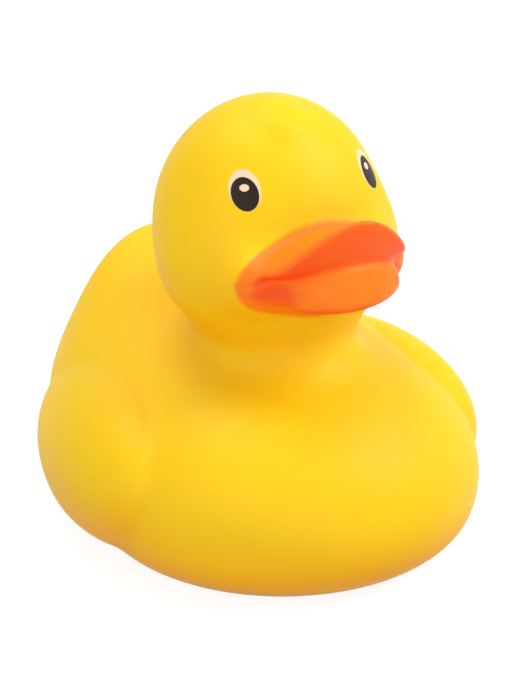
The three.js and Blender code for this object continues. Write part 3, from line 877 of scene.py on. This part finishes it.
def print_group():
    """Node group for a printed ellipse: its ink, 1 inside and 0 outside.

    The point is taken into the ellipse's own frame and scaled by its half sizes; the length of
    what lies in its plane, less 1, is how far it is outside, in half sizes. The ink steps from 1
    to 0 across a narrow edge there, and is 0 more than one half size behind the plane.
    """
    name = "printed_ellipse"
    if name in bpy.data.node_groups:
        return bpy.data.node_groups[name]
    group = bpy.data.node_groups.new(name, "ShaderNodeTree")
    for label in ("Middle", "Turn", "Half Sizes"):
        group.interface.new_socket(label, in_out="INPUT", socket_type="NodeSocketVector")
    group.interface.new_socket("Ink", in_out="OUTPUT", socket_type="NodeSocketFloat")
    nodes = Nodes(group)
    given = nodes.add("NodeGroupInput").outputs
    place = nodes.add("ShaderNodeTexCoord").outputs["Object"]
    inputs = {
        "Vector": place,
        "Location": given["Middle"],
        "Rotation": given["Turn"],
        "Scale": given["Half Sizes"],
    }
    local = nodes.add("ShaderNodeMapping", inputs, vector_type="TEXTURE").outputs[0]
    parts = nodes.add("ShaderNodeSeparateXYZ", {0: local}).outputs
    across = nodes.math("MULTIPLY", parts[0], parts[0])
    up = nodes.math("MULTIPLY", parts[1], parts[1])
    outside = nodes.math("SUBTRACT", nodes.math("SQRT", nodes.math("ADD", across, up)), 1.0)
    ink = nodes.step(outside, -0.03, 0.03, 1.0, 0.0)
    before = nodes.math("GREATER_THAN", parts[2], -1.0)
    nodes.add("NodeGroupOutput", {"Ink": nodes.math("MULTIPLY", ink, before)})
    return group


def printed(nodes, shape):
    """Ink of one shape on both eyes."""
    toward, rise, half_across, half_up, lean = shape
    inks = []
    for side, (middle, facing) in EYES.items():
        sign = 1 if side == "right" else -1
        n = Vector(facing).normalized()
        across = Vector((0, 0, 1)).cross(n).normalized() * sign
        up = n.cross(across) * sign
        centre = Vector(middle) + across * toward + up * rise
        c, k = math.cos(math.radians(lean)), math.sin(math.radians(lean))
        own = Matrix(((across * c + up * k) * sign, up * c - across * k, n)).transposed()
        node = nodes.add("ShaderNodeGroup", node_tree=print_group())
        node.inputs["Middle"].default_value = centre * MM
        node.inputs["Turn"].default_value = own.to_euler()
        node.inputs["Half Sizes"].default_value = (half_across * MM, half_up * MM, PRINT_REACH * MM)
        inks.append(node.outputs["Ink"])
    return nodes.math("MAXIMUM", inks[0], inks[1])


def toned(nodes, color, tone):
    """A colour made a little lighter or darker by tone."""
    even = nodes.add("ShaderNodeCombineXYZ", {0: tone, 1: tone, 2: tone}).outputs[0]
    return nodes.add("ShaderNodeVectorMath", {0: color, 1: even}, operation="MULTIPLY").outputs[0]


def attribute(nodes, name):
    """A number stored with the mesh."""
    return nodes.add("ShaderNodeAttribute", attribute_name=name).outputs["Fac"]


# What a user may change.


class DuckColours(bpy.types.PropertyGroup):
    vinyl: bpy.props.FloatVectorProperty(
        name="Vinyl", description="Yellow of the soft vinyl", subtype="COLOR", size=4,
        min=0.0, max=1.0, default=(0.98, 0.555, 0.003, 1.0),
    )
    # Painted shade: this amber stands in for shade in the vinyl's folds and underneath.
    vinyl_painted_shade: bpy.props.FloatVectorProperty(
        name="Vinyl painted shade", description="Amber painted as shade in the vinyl's folds and underneath",
        subtype="COLOR", size=4, min=0.0, max=1.0, default=(1.0, 0.41, 0.001, 1.0),
    )
    bill: bpy.props.FloatVectorProperty(
        name="Bill", description="Orange sprayed on the bill", subtype="COLOR", size=4,
        min=0.0, max=1.0, default=(0.98, 0.215, 0.006, 1.0),
    )
    # Red-orange of the mouth: partly the paint, partly painted shade in the open mouth and its folds.
    mouth: bpy.props.FloatVectorProperty(
        name="Mouth", description="Red-orange of the mouth paint and its painted shade", subtype="COLOR", size=4,
        min=0.0, max=1.0, default=(0.95, 0.095, 0.004, 1.0),
    )
    eye_white: bpy.props.FloatVectorProperty(
        name="Eye white", description="Cream print round the pupil", subtype="COLOR", size=4,
        min=0.0, max=1.0, default=(0.90, 0.63, 0.42, 1.0),
    )
    pupil: bpy.props.FloatVectorProperty(
        name="Pupil", description="Black print of the pupil", subtype="COLOR", size=4,
        min=0.0, max=1.0, default=(0.015, 0.006, 0.002, 1.0),
    )
    plug: bpy.props.FloatVectorProperty(
        name="Squeaker", description="Natural white plastic of the squeaker", subtype="COLOR", size=4,
        min=0.0, max=1.0, default=(0.86, 0.84, 0.78, 1.0),
    )


class DuckSizes(bpy.types.PropertyGroup):
    spray_blur: bpy.props.FloatProperty(
        name="Spray edge", description="Width of the soft edge of the sprayed orange",
        default=0.0013, min=0.0001, max=0.005, unit="LENGTH", subtype="DISTANCE",
    )
    grain: bpy.props.FloatProperty(
        name="Grain", description="Size of the fine grain of the vinyl",
        default=0.0006, min=0.0001, max=0.005, unit="LENGTH", subtype="DISTANCE",
    )
    grid_columns: bpy.props.IntProperty(
        name="Columns", description="Columns of the first, coarse grid round the duck",
        default=72, min=24, max=96,
    )


class DuckStage(bpy.types.PropertyGroup):
    key_power: bpy.props.FloatProperty(
        name="Key lamp", description="Power of the soft lamp at the duck's left front",
        default=6.1, min=0.0, max=100.0, unit="POWER",
    )
    top_power: bpy.props.FloatProperty(
        name="Top lamp", description="Power of the wide lamp overhead",
        default=4.4, min=0.0, max=100.0, unit="POWER",
    )
    side_power: bpy.props.FloatProperty(
        name="Side lamp", description="Power of the soft lamp at the duck's right front",
        default=2.3, min=0.0, max=100.0, unit="POWER",
    )
    front_power: bpy.props.FloatProperty(
        name="Front lamp", description="Power of the low, wide lamp in front",
        default=2.75, min=0.0, max=100.0, unit="POWER",
    )
    ambient: bpy.props.FloatProperty(
        name="Ambient", description="Strength of the even white light all round",
        default=0.48, min=0.0, max=2.0,
    )
    floor_radius: bpy.props.FloatProperty(
        name="Floor radius", description="Radius of the pale floor",
        default=6.0, min=0.5, max=20.0, unit="LENGTH", subtype="DISTANCE",
    )


# Materials.


def vinyl_material(colours, sizes):
    """Satin soft vinyl with a sprayed bill and printed eyes, all on one skin."""
    material, nodes, shader = new_material("duck_vinyl")
    surface = nodes.add("ShaderNodeGroup", node_tree=moulded_group())
    surface.inputs["Grain Size mm"].default_value = sizes.grain * 1000
    surface.inputs["Roughness"].default_value = 0.50
    surface.inputs["Roughness Drift"].default_value = 0.10
    surface.inputs["Tone Drift"].default_value = 0.03
    place = nodes.add("ShaderNodeTexCoord").outputs["Object"]

    # Painted shade: the yellow turns to the deeper amber in folds and on skin that looks down.
    yellow = nodes.mix(attribute(nodes, "painted_shade"), tuple(colours.vinyl), tuple(colours.vinyl_painted_shade))
    yellow = toned(nodes, yellow, surface.outputs["Tone"])
    mist = nodes.noise(MIST_SCALE, 2.0, 0.6, place)
    blur = sizes.spray_blur * 1000
    speckle = nodes.math("MULTIPLY", nodes.math("SUBTRACT", mist, 0.5), blur * SPRAY_SPECKLE)
    edge = nodes.math("ADD", attribute(nodes, "spray"), speckle)
    full, none = SPRAY_EDGE
    sprayed = nodes.step(edge, blur * full, blur * none, 1.0, 0.0)
    # The orange turns red-orange on the lips: partly paint, partly painted shade of the mouth and its
    # folds.
    paint = nodes.mix(attribute(nodes, "mouth"), tuple(colours.bill), tuple(colours.mouth))
    color = nodes.mix(sprayed, yellow, paint)
    white, dark, glint = [printed(nodes, shape) for shape in (EYE_WHITE, EYE_PUPIL, EYE_GLINT)]
    color = nodes.mix(white, color, tuple(colours.eye_white))
    color = nodes.mix(dark, color, tuple(colours.pupil))
    color = nodes.mix(glint, color, tuple(colours.eye_white))

    ink = nodes.math("MAXIMUM", white, dark)
    rough = nodes.math("ADD", surface.outputs["Roughness"], nodes.math("MULTIPLY", sprayed, SPRAY_GLOSS))
    rough = nodes.math("ADD", rough, nodes.math("MULTIPLY", ink, INK_GLOSS), clamp=True)
    bump = nodes.add("ShaderNodeBump", {"Height": surface.outputs["Height"], "Strength": 0.10})
    bump.inputs["Distance"].default_value = 0.06 * MM
    links = nodes.tree.links
    links.new(color, shader.inputs["Base Color"])
    links.new(rough, shader.inputs["Roughness"])
    links.new(bump.outputs[0], shader.inputs["Normal"])
    shader.inputs["IOR"].default_value = 1.5
    shader.inputs["Specular IOR Level"].default_value = 0.20
    shader.inputs["Subsurface Weight"].default_value = 0.50
    shader.inputs["Subsurface Radius"].default_value = (1.0, 0.38, 0.06)
    shader.inputs["Subsurface Scale"].default_value = 0.006
    return material


def plastic_material(name, color, roughness, grain):
    """Plain moulded plastic with fine grain."""
    material, nodes, shader = new_material(name)
    surface = nodes.add("ShaderNodeGroup", node_tree=moulded_group())
    surface.inputs["Grain Size mm"].default_value = grain
    surface.inputs["Roughness"].default_value = roughness
    bump = nodes.add("ShaderNodeBump", {"Height": surface.outputs["Height"], "Strength": 0.15})
    bump.inputs["Distance"].default_value = 0.05 * MM
    links = nodes.tree.links
    links.new(toned(nodes, color, surface.outputs["Tone"]), shader.inputs["Base Color"])
    links.new(surface.outputs["Roughness"], shader.inputs["Roughness"])
    links.new(bump.outputs[0], shader.inputs["Normal"])
    return material


def white_where_seen(nodes):
    """1 where a camera, glossy or transmission ray looks straight at this, otherwise 0."""
    path = nodes.add("ShaderNodeLightPath").outputs
    seen = nodes.math("MAXIMUM", path["Is Camera Ray"], path["Is Glossy Ray"])
    return nodes.math("MAXIMUM", seen, path["Is Transmission Ray"])


# Operators.


class DUCK_OT_skin(bpy.types.Operator):
    """Make the duck's vinyl skin, with its hollow, and finish it"""

    bl_idname = "duck.make_skin"
    bl_label = "Duck skin"

    def execute(self, context):
        scene = context.scene
        columns = scene.duck_sizes.grid_columns
        outer, rim_row = skin_grid(columns)
        inner = cone_rows(hollow, INNER_SPINE, INNER_ROWS, columns * FINER, DISH_DEPTH + WALL)
        free = np.ones(inner.shape[:2], bool)
        free[[0, -1]] = False
        inner = even_out(hollow, inner, INNER_EVENING, free)
        points, faces, used = closed_sheet(outer, inner)
        points[np.abs(points[:, 2]) < ON_THE_FLOOR, 2] = 0
        on_face = np.concatenate([lip_faces(outer, rim_row).ravel(), np.zeros(inner.size // 3)])[used]
        # Red-orange of the lips' paint, with painted shade in the crease, the corner folds and under the
        # lower lip.
        mouth = mouth_paint_and_shade(points, on_face)

        # The CAD skin is faceted, so its box is a hair smaller: bring this one inside it.
        room = np.diff(np.array(CAD_BOX), axis=0)[0] / MM / (points.max(0) - points.min(0))
        points *= min(1.0, room.min(), CAD_BOX[1][2] / MM / points[:, 2].max()) * JUST_INSIDE
        obj = put_mesh("duck_skin", points, faces)
        add_values(obj, "spray", spray_distance(points))
        add_values(obj, "mouth", mouth)
        # Painted shade in folds and underneath, kept with each point for the material.
        add_values(obj, "painted_shade", painted_shade(points))
        obj.data.materials.append(vinyl_material(scene.duck_colours, scene.duck_sizes))
        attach(obj, "root")
        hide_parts("duck_shell")
        return {"FINISHED"}


class DUCK_OT_squeaker(bpy.types.Operator):
    """Finish the squeaker's moulded plug and its reed"""

    bl_idname = "duck.finish_squeaker"
    bl_label = "Squeaker finish"

    def execute(self, context):
        colours = context.scene.duck_colours
        white = tuple(colours.plug)[:3]
        finishes = {
            "squeaker_body": plastic_material("squeaker_plastic", white, 0.38, 0.4),
            "squeaker_reed": plastic_material("reed_film", (0.72, 0.72, 0.69), 0.30, 0.3),
        }
        for node, material in finishes.items():
            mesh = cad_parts[node].data
            mesh.materials.clear()
            mesh.materials.append(material)
        return {"FINISHED"}


class DUCK_OT_stage(bpy.types.Operator):
    """Set the pale floor, the soft lamps, the even surroundings and the camera"""

    bl_idname = "duck.set_stage"
    bl_label = "Stage"

    def execute(self, context):
        scene = context.scene
        stage = scene.duck_stage

        turn = turns(96)
        ring = np.stack([np.cos(turn), np.sin(turn), 0 * turn], -1) * stage.floor_radius / MM
        floor = put_mesh("floor", ring, [list(range(len(turn)))], smooth_faces=False)
        material = bpy.data.materials.new("pale_floor")
        material.use_nodes = True
        material.node_tree.nodes.clear()
        nodes = Nodes(material.node_tree)
        lit, shaded = [
            nodes.add("ShaderNodeBsdfDiffuse", {"Color": (share, share, share, 1.0)}).outputs[0]
            for share in (FLOOR_GIVES_BACK, FLOOR_SHADED)
        ]
        glow = nodes.add("ShaderNodeEmission", {"Color": (1, 1, 1, 1), "Strength": FLOOR_GLOW})
        seen = nodes.add("ShaderNodeAddShader", {0: shaded, 1: glow.outputs[0]}).outputs[0]
        both = nodes.add("ShaderNodeMixShader", {0: white_where_seen(nodes), 1: lit, 2: seen})
        nodes.add("ShaderNodeOutputMaterial", {"Surface": both.outputs[0]})
        floor.data.materials.append(material)

        world = bpy.data.worlds.new("surroundings")
        world.use_nodes = True
        world.node_tree.nodes.clear()
        nodes = Nodes(world.node_tree)
        level = nodes.step(white_where_seen(nodes), 0.0, 1.0, stage.ambient, 1.0)
        sky = nodes.add("ShaderNodeBackground", {"Color": (1, 1, 1, 1), "Strength": level})
        nodes.add("ShaderNodeOutputWorld", {"Surface": sky.outputs[0]})
        scene.world = world

        def lamp(name, power, size, azimuth, elevation, distance=1.0):
            """A round soft lamp; azimuth is from the duck's front toward its left, in degrees."""
            data = bpy.data.lights.new(name, "AREA")
            data.energy = power
            data.shape = "DISK"
            data.size = size
            a, e = math.radians(azimuth), math.radians(elevation)
            towards = Vector((math.sin(a) * math.cos(e), -math.cos(a) * math.cos(e), math.sin(e)))
            obj = bpy.data.objects.new(name, data)
            obj.location = Vector((0, 0, 0.04)) + towards * distance
            obj.rotation_euler = towards.to_track_quat("Z", "Y").to_euler()
            scene.collection.objects.link(obj)

        lamp("key_lamp", stage.key_power, size=0.48, azimuth=55, elevation=42)
        lamp("front_lamp", stage.front_power, size=0.8, azimuth=-10, elevation=10, distance=1.2)
        lamp("top_lamp", stage.top_power, size=0.55, azimuth=-150, elevation=75)
        lamp("side_lamp", stage.side_power, size=0.6, azimuth=-66, elevation=20)

        camera = bpy.data.cameras.new("camera")
        camera.sensor_fit = "AUTO"
        camera.sensor_width = SENSOR_MM
        camera.lens = SENSOR_MM * FOCAL_PIXELS / FRAME_PIXELS
        camera.clip_start = 0.05
        camera.clip_end = 50.0
        view = bpy.data.objects.new("camera", camera)
        view.location = Vector(CAMERA_PLACE) * MM
        target = Vector(CAMERA_TARGET) * MM
        view.rotation_euler = (view.location - target).to_track_quat("Z", "Y").to_euler()
        scene.collection.objects.link(view)
        scene.camera = view
        scene.view_settings.view_transform = "Standard"
        return {"FINISHED"}


class DUCK_PT_panel(bpy.types.Panel):
    bl_label = "Rubber duck"
    bl_idname = "DUCK_PT_panel"
    bl_space_type = "VIEW_3D"
    bl_region_type = "UI"
    bl_category = "Duck"

    def draw(self, context):
        for operator in OPERATORS:
            self.layout.operator(operator.bl_idname)
        for group in (context.scene.duck_colours, context.scene.duck_sizes, context.scene.duck_stage):
            box = self.layout.box()
            for name in group.bl_rna.properties.keys():
                if name not in ("rna_type", "name"):
                    box.prop(group, name)


OPERATORS = (DUCK_OT_skin, DUCK_OT_squeaker, DUCK_OT_stage)
GROUPS = (DuckColours, DuckSizes, DuckStage)


def register():
    for cls in GROUPS + OPERATORS + (DUCK_PT_panel,):
        bpy.utils.register_class(cls)
    bpy.types.Scene.duck_colours = bpy.props.PointerProperty(type=DuckColours)
    bpy.types.Scene.duck_sizes = bpy.props.PointerProperty(type=DuckSizes)
    bpy.types.Scene.duck_stage = bpy.props.PointerProperty(type=DuckStage)


def unregister():
    del bpy.types.Scene.duck_stage
    del bpy.types.Scene.duck_sizes
    del bpy.types.Scene.duck_colours
    for cls in reversed(GROUPS + OPERATORS + (DUCK_PT_panel,)):
        bpy.utils.unregister_class(cls)


def main():
    register()
    bpy.ops.duck.make_skin()
    bpy.ops.duck.finish_squeaker()
    bpy.ops.duck.set_stage()


if __name__ == "__main__":
    main()
